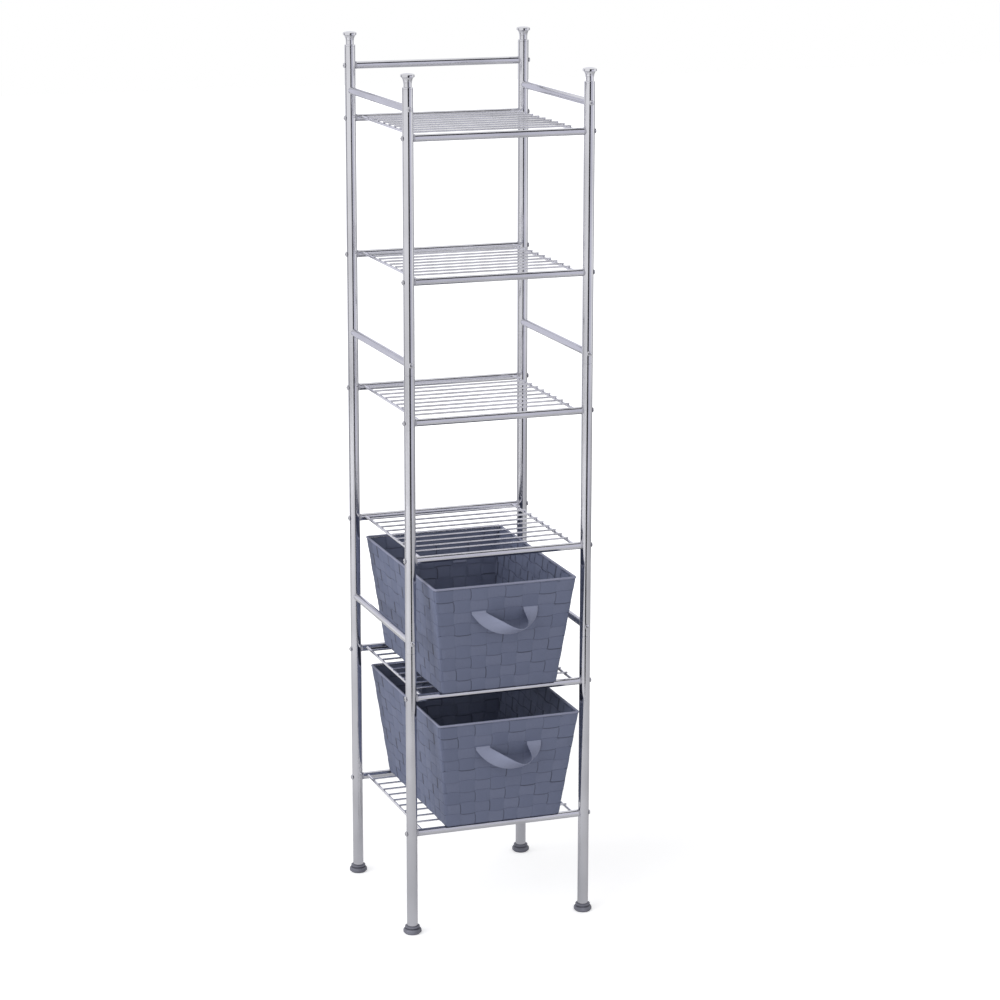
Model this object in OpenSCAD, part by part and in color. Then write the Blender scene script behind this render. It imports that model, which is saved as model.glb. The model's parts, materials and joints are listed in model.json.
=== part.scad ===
// Tall open tower of six wire shelves on four jointed tube posts, with two
// pull-out woven bins. Millimetres. Front is -Y, left is -X, up is +Z. The
// origin is on the floor, at the centre of the footprint.

/* [Posts] */
// Left to right spacing of the post centres
post_spacing_x = 320; // [290:5:420]
// Front to back spacing of the post centres
post_spacing_y = 320; // [310:5:420]
// Outside diameter of a post tube
post_d = 19; // [18:0.5:22]
// Wall of a post tube
post_wall = 1; // [0.8:0.1:1.4]
// Height of the front posts above the top shelf
front_post_rise = 81; // [75:1:110]
// Height of the back posts above the top shelf
back_post_rise = 124; // [118:1:160]
// Bevel on the end of each post section, seen as a ring at the joint
joint_bevel = 0.4; // [0.2:0.1:0.6]
// Half of a coupler's length
coupler_half = 13; // [10:0.5:13.5]
// Wall of a coupler
coupler_wall = 2.5; // [1.5:0.5:4]

/* [Shelves] */
// Height of the lowest shelf tube above the floor
first_shelf_z = 184; // [150:1:220]
// Step between the three lower shelves
lower_pitch = 245; // [235:1:320]
// Step between the upper shelves
upper_pitch = 239; // [160:1:320]
// Outside diameter of a shelf tube
shelf_tube_d = 12.7; // [12:0.1:14]
// Wall of the shelf tubes and rails
tube_wall = 0.8; // [0.6:0.1:1.2]
// Diameter of the two front to back bearer wires
bearer_d = 4.8; // [4:0.1:5.5]
// Diameter of the long shelf wires
wire_d = 3.4; // [3:0.1:4]
// Number of long shelf wires
wire_count = 9; // [5:1:11]
// Distance from a shelf tube's centre to the nearest long wire
wire_margin = 38; // [30:1:50]
// Distance from the post centres to a bearer wire
bearer_inset = 20; // [18:1:30]
// Length of long wire that passes the bearer wire
wire_overhang = 2; // [1.8:0.1:4.5]
// Height of the long wires above the shelf tubes
wire_proud = 0.6; // [0.2:0.1:1.2]

/* [Rails] */
// Outside diameter of the side rails and the back rail
rail_d = 12.7; // [12:0.1:14]
// Height of the low side rail above the second shelf
low_rail_rise = 100; // [60:1:120]
// Height of the middle side rail above the fourth shelf
middle_rail_rise = 100; // [60:1:120]
// Height of the top side rail above the top shelf
top_rail_rise = 48; // [40:1:50]
// Height of the back rail above the top shelf
back_rail_rise = 91; // [80:1:95]
// Distance from a side rail down to the post joint below it
joint_drop = 18; // [17:0.5:25]

/* [Fixings] */
// Diameter of the bolts
bolt_d = 5; // [4:0.5:6]
// Diameter of the domed bolt heads
bolt_head_d = 9; // [8.5:0.5:11]
// Height of the domed bolt heads
bolt_head_h = 3; // [2.4:0.2:4]
// Length of bolt held in a tube insert
bolt_grip = 12; // [8:1:15]
// Length of an insert inside its tube
insert_len = 16; // [14:1:22]
// Length of the insert's collar between tube and post
insert_collar = 1.5; // [1:0.1:3]

/* [Feet] */
// Diameter of a foot pad
foot_d = 32; // [28:0.5:40]
// Height of a foot pad
foot_h = 14; // [13:0.5:20]
// Height of the pad's round disc
foot_disc_h = 9; // [8:0.5:11]
// Diameter of the groove above the disc
foot_groove_d = 20; // [16:0.5:20.5]
// Diameter of the collar under the post
foot_collar_d = 26; // [21:0.5:28]
// Diameter of the levelling stud
stud_d = 8; // [6:0.5:10]
// Length of stud above the pad
stud_len = 34; // [28:1:45]
// Length of the threaded insert in the post's foot
leveller_len = 20; // [16:1:26]

/* [Finials] */
// Diameter of a finial's neck
finial_neck_d = 14; // [12:0.5:17]
// Diameter of a finial's flange
finial_flange_d = 24; // [21:0.5:30]
// Height of a finial above its post
finial_h = 25; // [20:1:34]
// Length of a finial's plug inside the post
finial_plug = 14; // [10:1:16]

/* [Bins] */
// Width of a bin's floor
bin_floor_w = 212; // [190:2:224]
// Length of a bin's floor, front to back
bin_floor_l = 326; // [300:2:336]
// Width of a bin over its rim
bin_rim_w = 260; // [240:2:270]
// Length of a bin over its rim
bin_rim_l = 392; // [370:2:400]
// Height of a bin
bin_h = 196; // [160:2:206]
// Wall of a bin
bin_wall = 2; // [1.6:0.1:2.4]
// Diameter of the bin's rolled rim
rim_roll_d = 4.4; // [4.2:0.1:5.6]
// Diameter of the wire inside the rim
rim_wire_d = 2; // [1.6:0.1:2.4]
// Radius of the bin's corners at the floor
bin_floor_corner = 4; // [3:0.5:12]
// Radius of the bin's corners at the rim
bin_rim_corner = 6; // [5:0.5:16]
// Width of the strap handle
strap_w = 26; // [18:1:27]
// Thickness of the strap handle
strap_t = 1.6; // [1.2:0.1:2]
// Spacing of the strap's two ends, centre to centre
strap_span = 94; // [70:2:110]
// How far the strap hangs below its ends
strap_droop = 35; // [26:1:45]
// How far the strap bows out in front of its ends
strap_bow = 18; // [17:1:26]
// Distance from the rim's top down to the strap's slots
strap_drop = 48; // [40:1:70]

/* [Hidden] */
$fn = 48;
eps = 0.01;
hull_sides = 32;
fit_gap = 0.05;
bolt_hole_gap = 0.2;
stand_gap = 0.3;
slot_gap = 0.8;
weld_sink = 0.25;
foot_gap = 0.3;
socket_depth = 1.6;
pad_round = 3;
pad_chamfer = 0.6;
tab_len = 14;
tab_gap = 0.5;
loop_steps = 30;
turn_lag = 1.6;
strap_turn = -66;
bin_shift = [[6, -5], [-3, -10]];
wall_slab = 0.4;

post_r = post_d / 2;
post_bore_r = post_r - post_wall;
tube_r = shelf_tube_d / 2;
rail_r = rail_d / 2;
bolt_r = bolt_d / 2;
post_base_z = foot_h + foot_gap;
shelf_z = [for (i = [0:5]) first_shelf_z + min(i, 2) * lower_pitch + max(i - 2, 0) * upper_pitch];
low_rail_z = shelf_z[1] + low_rail_rise;
middle_rail_z = shelf_z[3] + middle_rail_rise;
top_rail_z = shelf_z[5] + top_rail_rise;
back_rail_z = shelf_z[5] + back_rail_rise;
low_joint_z = low_rail_z - joint_drop;
high_joint_z = middle_rail_z - joint_drop;
front_top_z = shelf_z[5] + front_post_rise;
back_top_z = shelf_z[5] + back_post_rise;
side_rail_zs = [low_rail_z, middle_rail_z, top_rail_z];
wire_z = tube_r + wire_proud - wire_d / 2;
bearer_z = wire_z - wire_d / 2 - bearer_d / 2 + weld_sink;
bearer_x = post_spacing_x / 2 - bearer_inset;
wire_step = (post_spacing_y - 2 * wire_margin) / (wire_count - 1);
bin_stand = tube_r + wire_proud + stand_gap;
roll_r = rim_roll_d / 2;
rim_x = bin_rim_w / 2 - roll_r;
rim_y = bin_rim_l / 2 - roll_r;
rim_corner = bin_rim_corner - roll_r;
rim_z = bin_h - roll_r;
wall_top_z = bin_h - rim_roll_d - wall_slab;
strap_z = bin_h - strap_drop;

LEFT = -1;
RIGHT = 1;
FRONT = -1;
BACK = 1;

// ---- posts ----

// A cylinder along X, centred on the origin
module bar_x(r, len) rotate([0, 90, 0]) cylinder(r = r, h = len, center = true);

// A cylinder along Y, centred on the origin
module bar_y(r, len) rotate([90, 0, 0]) cylinder(r = r, h = len, center = true);

// Moves its children to one post's axis
module at_post(side, face) translate([side * post_spacing_x / 2, face * post_spacing_y / 2, 0]) children();

// One tube of a post from z0 to z1, bevelled at its ends
module post_tube(z0, z1) {
    rotate_extrude() polygon([
        [post_bore_r, z0], [post_r - joint_bevel, z0], [post_r, z0 + joint_bevel],
        [post_r, z1 - joint_bevel], [post_r - joint_bevel, z1], [post_bore_r, z1]
    ]);
}

// The bolt holes through one post
module post_holes(face) {
    for (z = shelf_z) translate([0, 0, z]) bar_x(bolt_r + bolt_hole_gap, 2 * post_d);
    for (z = side_rail_zs) translate([0, 0, z]) bar_y(bolt_r + bolt_hole_gap, 2 * post_d);
    if (face == BACK) translate([0, 0, back_rail_z]) bar_x(bolt_r + bolt_hole_gap, 2 * post_d);
}

function post_top(face) = face == FRONT ? front_top_z : back_top_z;

// Levels at which a post starts, is joined and ends
function post_levels(face) = [post_base_z, low_joint_z, high_joint_z, post_top(face)];

// One of a post's three sections, numbered from the floor
module post_section(side, face, section) {
    levels = post_levels(face);
    color("silver") at_post(side, face) difference() {
        post_tube(levels[section], levels[section + 1]);
        post_holes(face);
    }
}

// The four sleeves that join the post sections at one level
module couplers(z) {
    color("gray") for (side = [LEFT, RIGHT], face = [FRONT, BACK])
        at_post(side, face) translate([0, 0, z - coupler_half]) difference() {
            cylinder(r = post_bore_r - fit_gap, h = 2 * coupler_half);
            translate([0, 0, -eps]) cylinder(r = post_bore_r - coupler_wall, h = 2 * coupler_half + 2 * eps);
        }
}

// A turned cap: plug, narrow neck, concave flare and a domed flange
module finial(side, face) {
    neck_r = finial_neck_d / 2;
    flange_r = finial_flange_d / 2;
    seat_h = finial_h * 0.12;
    neck_top = finial_h * 0.28;
    flare_top = finial_h * 0.78;
    edge_top = finial_h * 0.9;
    flare = [for (a = [0:10:90]) [
        neck_r + (flange_r - neck_r) * (1 - cos(a)),
        neck_top + (flare_top - neck_top) * sin(a)
    ]];
    dome = [for (a = [0:15:90]) [flange_r * cos(a), edge_top + (finial_h - edge_top) * sin(a)]];
    color("silver") at_post(side, face) translate([0, 0, post_top(face)]) rotate_extrude() polygon(concat(
        [[0, -finial_plug], [post_bore_r - fit_gap, -finial_plug], [post_bore_r - fit_gap, 0]],
        [[post_r, 0], [post_r, seat_h * 0.7], [neck_r, seat_h]],
        flare, dome
    ));
}

// ---- feet ----

// The threaded plugs in the posts' lower ends
module leveller_inserts() {
    color("dimgray") for (side = [LEFT, RIGHT], face = [FRONT, BACK])
        at_post(side, face) translate([0, 0, post_base_z]) difference() {
            cylinder(r = post_bore_r - fit_gap, h = leveller_len);
            translate([0, 0, -eps]) cylinder(r = stud_d / 2 + fit_gap, h = leveller_len + 2 * eps);
        }
}

// Rounded disc, groove and collar of a foot pad, round a blind stud hole
module foot(side, face) {
    r = foot_d / 2;
    rounded = [for (a = [0:15:90]) [r - pad_round + pad_round * cos(a), foot_disc_h - pad_round + pad_round * sin(a)]];
    groove_z = foot_disc_h + (foot_h - foot_disc_h) * 0.35;
    color([0.22, 0.22, 0.24]) at_post(side, face) difference() {
        rotate_extrude() polygon(concat(
            [[0, 0], [r - pad_round, 0], [r, pad_round]],
            rounded,
            [[foot_groove_d / 2, foot_disc_h], [foot_groove_d / 2, groove_z], [foot_collar_d / 2, groove_z + pad_chamfer],
             [foot_collar_d / 2, foot_h - pad_chamfer], [foot_collar_d / 2 - pad_chamfer, foot_h], [0, foot_h]]
        ));
        translate([0, 0, foot_disc_h / 2]) cylinder(r = stud_d / 2, h = foot_h);
    }
}

// The levelling stud that stands in a foot pad
module stud(side, face) {
    color("gray") at_post(side, face) translate([0, 0, foot_disc_h / 2])
        cylinder(r = stud_d / 2, h = foot_h - foot_disc_h / 2 + stud_len);
}

// ---- tubes with an insert and a bolt at each end, drawn along X ----

function tube_half(span) = span / 2 - post_r - insert_collar;

// The hollow tube of a run between two posts
module run_tube(span, r) {
    color("silver") difference() {
        bar_x(r, 2 * tube_half(span));
        bar_x(r - tube_wall, 2 * tube_half(span) + 2 * eps);
    }
}

// The two tube inserts of a run, each with a collar cut to the post
module run_inserts(span, r) {
    end = tube_half(span);
    color("lightgray") for (side = [0, 1]) mirror([side, 0, 0]) difference() {
        union() {
            translate([end - insert_len, 0, 0]) rotate([0, 90, 0])
                cylinder(r = r - tube_wall - fit_gap, h = insert_len);
            translate([end, 0, 0]) rotate([0, 90, 0]) cylinder(r = r, h = span / 2 - end);
        }
        translate([span / 2, 0, 0]) cylinder(r = post_r, h = 4 * r, center = true);
        translate([end - insert_len - eps, 0, 0]) rotate([0, 90, 0])
            cylinder(r = bolt_r + fit_gap, h = span / 2);
    }
}

// A domed bolt along X: its head stands on x = 0 and its shank runs to -X
module bolt() {
    shank = post_d + insert_collar + bolt_grip;
    head_r = bolt_head_d / 2;
    rim_h = bolt_head_h * 0.3;
    dome = [for (a = [0:15:90]) [head_r * cos(a), rim_h + (bolt_head_h - rim_h) * sin(a)]];
    rotate([0, 90, 0]) difference() {
        rotate_extrude() polygon(concat([[0, -shank], [bolt_r, -shank], [bolt_r, 0], [head_r, 0]], dome));
        translate([0, 0, bolt_head_h - socket_depth]) cylinder(d = bolt_d * 0.6, h = bolt_head_h, $fn = 6);
    }
}

// The two bolts of a run, their heads on the posts' outer faces
module run_bolts(span) {
    color("silver") for (side = [0, 1]) mirror([side, 0, 0])
        translate([span / 2 + post_r, 0, 0]) bolt();
}

// Moves a run to the front or back of one shelf
module at_shelf_tube(i, face) translate([0, face * post_spacing_y / 2, shelf_z[i]]) children();

// Turns a run front to back and moves it to one side at height z
module at_side_rail(side, z) translate([side * post_spacing_x / 2, 0, z]) rotate([0, 0, 90]) children();

// Moves a run to the back rail's place
module at_back_rail() translate([0, post_spacing_y / 2, back_rail_z]) children();

// ---- shelves ----

module shelf_tubes(i) for (face = [FRONT, BACK]) at_shelf_tube(i, face) run_tube(post_spacing_x, tube_r);

// A shelf's welded wires: two bearers cut to the tubes, and the long wires on them
module shelf_wires(i) {
    color("silver") translate([0, 0, shelf_z[i]]) union() {
        difference() {
            for (side = [LEFT, RIGHT]) translate([side * bearer_x, 0, bearer_z])
                bar_y(bearer_d / 2, post_spacing_y);
            for (face = [FRONT, BACK]) translate([0, face * post_spacing_y / 2, 0])
                bar_x(tube_r, post_spacing_x);
        }
        for (k = [0:wire_count - 1])
            translate([0, -post_spacing_y / 2 + wire_margin + k * wire_step, wire_z])
                bar_x(wire_d / 2, 2 * (bearer_x + wire_overhang));
    }
}

module side_rail(side, z) at_side_rail(side, z) run_tube(post_spacing_y, rail_r);
module back_rail() at_back_rail() run_tube(post_spacing_x, rail_r);

module shelf_bolts() for (i = [0:5], face = [FRONT, BACK]) at_shelf_tube(i, face) run_bolts(post_spacing_x);
module shelf_inserts() for (i = [0:5], face = [FRONT, BACK]) at_shelf_tube(i, face)
    run_inserts(post_spacing_x, tube_r);
module side_rail_bolts() for (side = [LEFT, RIGHT], z = side_rail_zs) at_side_rail(side, z)
    run_bolts(post_spacing_y);
module side_rail_inserts() for (side = [LEFT, RIGHT], z = side_rail_zs) at_side_rail(side, z)
    run_inserts(post_spacing_y, rail_r);
module back_rail_bolts() at_back_rail() run_bolts(post_spacing_x);
module back_rail_inserts() at_back_rail() run_inserts(post_spacing_x, rail_r);

// ---- bins ----

// Moves a bin onto the wires of shelf i, as far off the middle as it stands
module at_bin(i) translate([bin_shift[i].x, bin_shift[i].y, shelf_z[i] + bin_stand]) children();

// Four upright corner posts of a thin slab, for a hull
module slab_corners(half_x, half_y, r, z) {
    for (sx = [-1, 1], sy = [-1, 1]) translate([sx * (half_x - r), sy * (half_y - r), z])
        cylinder(r = r, h = wall_slab, $fn = hull_sides);
}

// The tapered body of a bin drawn in by inset, its floor at z0 and its top at z1
module bin_body(inset, z0, z1) hull() {
    slab_corners(bin_floor_w / 2 - inset, bin_floor_l / 2 - inset, bin_floor_corner - inset, z0);
    slab_corners(rim_x + bin_wall / 2 - inset, rim_y + bin_wall / 2 - inset,
                 rim_corner + bin_wall / 2 - inset, z1);
}

// Sweeps a profile round the rim: its x points out and its y points up
module round_rim() {
    for (i = [0:3]) {
        out = i % 2 == 0 ? rim_x : rim_y;
        along = i % 2 == 0 ? rim_y : rim_x;
        rotate([0, 0, 90 * i]) {
            translate([out, 0, rim_z]) rotate([90, 0, 0])
                linear_extrude(2 * (along - rim_corner), center = true) children();
            translate([out - rim_corner, along - rim_corner, rim_z])
                rotate_extrude(angle = 90) translate([rim_corner, 0]) children();
        }
    }
}

// Moves its children to one strap slot on the front or back wall
module at_slot(side, face) translate([side * strap_span / 2, face * wall_y(strap_z), strap_z]) children();

// Outside of the front and back walls at height z above the bin's floor
function wall_y(z) = bin_floor_l / 2 + (rim_y + bin_wall / 2 - bin_floor_l / 2) * z / wall_top_z;

// Tapered walls and floor, a lip inside the rim and four strap slots
module bin_shell(i) {
    lip_h = rim_z - rim_wire_d / 2 - fit_gap - wall_top_z;
    color([0.40, 0.42, 0.52]) at_bin(i) difference() {
        union() {
            bin_body(0, 0, wall_top_z);
            round_rim() translate([-bin_wall / 2, wall_top_z - rim_z]) square([bin_wall, lip_h]);
        }
        bin_body(bin_wall, bin_wall, wall_top_z + eps);
        for (side = [LEFT, RIGHT], face = [FRONT, BACK]) at_slot(side, face)
            cube([strap_w + 2 * slot_gap, 8 * bin_wall, strap_t + 2 * slot_gap], center = true);
    }
}

// Rolled edge, open below where the wall's lip goes in
module bin_rim(i) {
    color([0.52, 0.53, 0.62]) at_bin(i) round_rim() difference() {
        circle(roll_r);
        circle(rim_wire_d / 2 + fit_gap);
        translate([-bin_wall / 2 - fit_gap, -rim_roll_d]) square([bin_wall + 2 * fit_gap, rim_roll_d]);
    }
}

module bin_rim_wire(i) color("gray") at_bin(i) round_rim() circle(rim_wire_d / 2);

// A strap section: centre, half width vector and half thickness vector
function section(c, w, n) = [
    c + w * strap_w / 2 + n * strap_t / 2, c - w * strap_w / 2 + n * strap_t / 2,
    c - w * strap_w / 2 - n * strap_t / 2, c + w * strap_w / 2 - n * strap_t / 2
];

// The strap's hidden end: up inside the wall, out of the slot and down, drawn for
// the front, with out as -Y. lean is how far the wall leans in over the tab.
function strap_end(side) = let (
    x = side * strap_span / 2,
    w = [-side, 0, 0],
    y_in = bin_wall + tab_gap + strap_t / 2,
    y_out = -strap_t / 2 - tab_gap,
    lean = wall_y(0) - wall_y(tab_len)
) [
    section([x, y_in - lean, -tab_len], w, [0, 1, 0]),
    section([x, y_in, 0], w, [0, 1, 1]),
    section([x, y_out, 0], w, [0, -1, 1])
];

// The middle line of the hanging loop, seen from the front: four points that steer its curve
function loop_points() = [
    [-strap_span / 2, -strap_t * 2], [-strap_span * 0.21, -strap_droop * 1.03],
    [strap_span * 0.55, -strap_droop * 1.6], [strap_span / 2, -strap_t * 2]
];
function loop_at(p, u) = pow(1 - u, 3) * p[0] + 3 * pow(1 - u, 2) * u * p[1]
    + 3 * (1 - u) * u * u * p[2] + u * u * u * p[3];
function loop_run(p, u) = 3 * pow(1 - u, 2) * (p[1] - p[0]) + 6 * (1 - u) * u * (p[2] - p[1])
    + 3 * u * u * (p[3] - p[2]);

// The hanging loop: it runs down flat, turns nearly edge on and climbs steeply
function strap_loop() = let (p = loop_points()) [for (k = [0:loop_steps]) let (
    u = k / loop_steps,
    a = 180 * u,
    middle = loop_at(p, u),
    run = loop_run(p, u),
    c = [middle.x, -strap_t / 2 - tab_gap - strap_bow * sin(a), middle.y],
    along = [run.x, -strap_bow * PI * cos(a), run.y],
    turn = strap_turn * sin(180 * pow(u, turn_lag)),
    w = [cos(a), 0, sin(a)] * cos(turn) + [0, 1, 0] * sin(turn),
    n = cross(along, w)
) section(c, w, n / norm(n))];

function reversed(list) = [for (k = [len(list) - 1:-1:0]) list[k]];

module strap_body() {
    rings = concat(strap_end(LEFT), strap_loop(), reversed(strap_end(RIGHT)));
    last = len(rings) - 1;
    polyhedron(
        points = [for (ring = rings, p = ring) p],
        faces = concat(
            [[0, 1, 2, 3]],
            [for (k = [0:last - 1], j = [0:3])
                [4 * k + j, 4 * (k + 1) + j, 4 * (k + 1) + (j + 1) % 4]],
            [for (k = [0:last - 1], j = [0:3])
                [4 * k + j, 4 * (k + 1) + (j + 1) % 4, 4 * k + (j + 1) % 4]],
            [[4 * last + 3, 4 * last + 2, 4 * last + 1, 4 * last]]
        )
    );
}

// The front strap and its twin at the back
module bin_handles(i) {
    color([0.58, 0.60, 0.72]) at_bin(i) for (back = [0, 1]) mirror([0, back, 0])
        translate([0, -wall_y(strap_z), strap_z]) strap_body();
}

post_section(LEFT, FRONT, 0);  // front_left_post_lower
post_section(LEFT, FRONT, 1);  // front_left_post_middle
post_section(LEFT, FRONT, 2);  // front_left_post_upper
post_section(RIGHT, FRONT, 0);  // front_right_post_lower
post_section(RIGHT, FRONT, 1);  // front_right_post_middle
post_section(RIGHT, FRONT, 2);  // front_right_post_upper
post_section(LEFT, BACK, 0);  // back_left_post_lower
post_section(LEFT, BACK, 1);  // back_left_post_middle
post_section(LEFT, BACK, 2);  // back_left_post_upper
post_section(RIGHT, BACK, 0);  // back_right_post_lower
post_section(RIGHT, BACK, 1);  // back_right_post_middle
post_section(RIGHT, BACK, 2);  // back_right_post_upper
couplers(low_joint_z);  // lower_couplers
couplers(high_joint_z);  // upper_couplers
finial(LEFT, FRONT);  // front_left_finial
finial(RIGHT, FRONT);  // front_right_finial
finial(LEFT, BACK);  // back_left_finial
finial(RIGHT, BACK);  // back_right_finial
leveller_inserts();
foot(LEFT, FRONT);  // front_left_foot
foot(RIGHT, FRONT);  // front_right_foot
foot(LEFT, BACK);  // back_left_foot
foot(RIGHT, BACK);  // back_right_foot
stud(LEFT, FRONT);  // front_left_stud
stud(RIGHT, FRONT);  // front_right_stud
stud(LEFT, BACK);  // back_left_stud
stud(RIGHT, BACK);  // back_right_stud
shelf_tubes(0);  // shelf_1_tubes
shelf_tubes(1);  // shelf_2_tubes
shelf_tubes(2);  // shelf_3_tubes
shelf_tubes(3);  // shelf_4_tubes
shelf_tubes(4);  // shelf_5_tubes
shelf_tubes(5);  // shelf_6_tubes
shelf_wires(0);  // shelf_1_wires
shelf_wires(1);  // shelf_2_wires
shelf_wires(2);  // shelf_3_wires
shelf_wires(3);  // shelf_4_wires
shelf_wires(4);  // shelf_5_wires
shelf_wires(5);  // shelf_6_wires
side_rail(LEFT, low_rail_z);  // left_rail_low
side_rail(LEFT, middle_rail_z);  // left_rail_middle
side_rail(LEFT, top_rail_z);  // left_rail_top
side_rail(RIGHT, low_rail_z);  // right_rail_low
side_rail(RIGHT, middle_rail_z);  // right_rail_middle
side_rail(RIGHT, top_rail_z);  // right_rail_top
back_rail();
shelf_bolts();
side_rail_bolts();
back_rail_bolts();
shelf_inserts();
side_rail_inserts();
back_rail_inserts();
bin_shell(0);  // lower_bin_shell
bin_rim(0);  // lower_bin_rim
bin_rim_wire(0);  // lower_bin_rim_wire
bin_handles(0);  // lower_bin_handles
bin_shell(1);  // upper_bin_shell
bin_rim(1);  // upper_bin_rim
bin_rim_wire(1);  // upper_bin_rim_wire
bin_handles(1);  // upper_bin_handles
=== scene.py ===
"""Dresses the storage tower: chrome tubes and wires, dark feet and two bins woven from flat strapping."""

import json
import logging
import math
from collections.abc import Callable, Iterable
from dataclasses import dataclass
from enum import Enum
from functools import partial

import bmesh
import bpy
from mathutils import Matrix, Vector

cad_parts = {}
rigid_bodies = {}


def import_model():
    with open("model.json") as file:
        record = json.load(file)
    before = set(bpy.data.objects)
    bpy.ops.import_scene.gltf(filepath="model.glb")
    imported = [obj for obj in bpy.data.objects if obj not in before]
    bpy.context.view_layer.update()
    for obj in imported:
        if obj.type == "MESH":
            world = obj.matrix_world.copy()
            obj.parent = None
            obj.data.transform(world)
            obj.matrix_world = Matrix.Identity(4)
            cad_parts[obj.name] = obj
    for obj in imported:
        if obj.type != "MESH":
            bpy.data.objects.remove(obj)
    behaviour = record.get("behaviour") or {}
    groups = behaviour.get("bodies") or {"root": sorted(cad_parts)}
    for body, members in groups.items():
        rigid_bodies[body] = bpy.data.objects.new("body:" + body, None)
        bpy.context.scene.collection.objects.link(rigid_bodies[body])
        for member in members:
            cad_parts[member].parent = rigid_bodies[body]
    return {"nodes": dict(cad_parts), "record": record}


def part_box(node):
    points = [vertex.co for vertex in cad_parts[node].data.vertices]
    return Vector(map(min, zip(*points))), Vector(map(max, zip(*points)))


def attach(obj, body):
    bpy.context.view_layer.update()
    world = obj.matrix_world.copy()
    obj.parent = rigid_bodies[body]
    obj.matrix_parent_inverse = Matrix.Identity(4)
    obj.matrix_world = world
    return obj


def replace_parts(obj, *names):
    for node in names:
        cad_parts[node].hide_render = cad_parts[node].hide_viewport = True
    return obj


for left_over in list(bpy.data.objects):
    bpy.data.objects.remove(left_over)
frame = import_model()

LOG = logging.getLogger("tower")
MM = 0.001
UV_NAME = "strap"
UV_LANE_MARGIN = 0.002
SHARP_DEG = 40.0
WHITE = (1.0, 1.0, 1.0, 1.0)
Colour = tuple[float, float, float]
Span = tuple[float, float]
Place = Callable[[float, float], Vector]
Section = tuple[Vector, Vector]


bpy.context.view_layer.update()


# ---- shader graphs ----


class Value:
    """A number in a shader. Arithmetic on it adds Math nodes to its graph."""

    def __init__(self, graph: "Graph", socket: bpy.types.NodeSocket) -> None:
        """Wraps a socket.

        Args:
            graph: The graph that the socket belongs to.
            socket: An output that gives one number.
        """
        self.graph = graph
        self.socket = socket

    def math(self, operation: str, *operands: "Value | float") -> "Value":
        """Adds a Math node on these operands.

        Args:
            operation: The Math node's operation.
            operands: Its inputs, in order.

        Returns:
            The node's result.
        """
        made = self.graph.node("ShaderNodeMath", {"operation": operation}, dict(enumerate(operands)))
        return Value(self.graph, made.outputs[0])

    def __add__(self, other: "Value | float") -> "Value":
        """Adds."""
        return self.math("ADD", self, other)

    def __radd__(self, other: float) -> "Value":
        """Adds to a number."""
        return self.math("ADD", other, self)

    def __sub__(self, other: "Value | float") -> "Value":
        """Subtracts."""
        return self.math("SUBTRACT", self, other)

    def __rsub__(self, other: float) -> "Value":
        """Subtracts from a number."""
        return self.math("SUBTRACT", other, self)

    def __mul__(self, other: "Value | float") -> "Value":
        """Multiplies."""
        return self.math("MULTIPLY", self, other)

    def __rmul__(self, other: float) -> "Value":
        """Multiplies a number."""
        return self.math("MULTIPLY", other, self)

    def sine(self) -> "Value":
        """Gives the sine of this number of radians."""
        return self.math("SINE", self)

    def size(self) -> "Value":
        """Gives the number without its sign."""
        return self.math("ABSOLUTE", self)

    def whole(self) -> "Value":
        """Gives the whole number at or below this one."""
        return self.math("FLOOR", self)

    def ramp(self, low: float, high: float) -> "Value":
        """Gives a smooth step from 0 to 1.

        Args:
            low: Where the step starts.
            high: Where it ends.

        Returns:
            The step's height.
        """
        settings = {"interpolation_type": "SMOOTHSTEP"}
        inputs = {"Value": self, "From Min": low, "From Max": high}
        return Value(self.graph, self.graph.node("ShaderNodeMapRange", settings, inputs).outputs["Result"])


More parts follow.
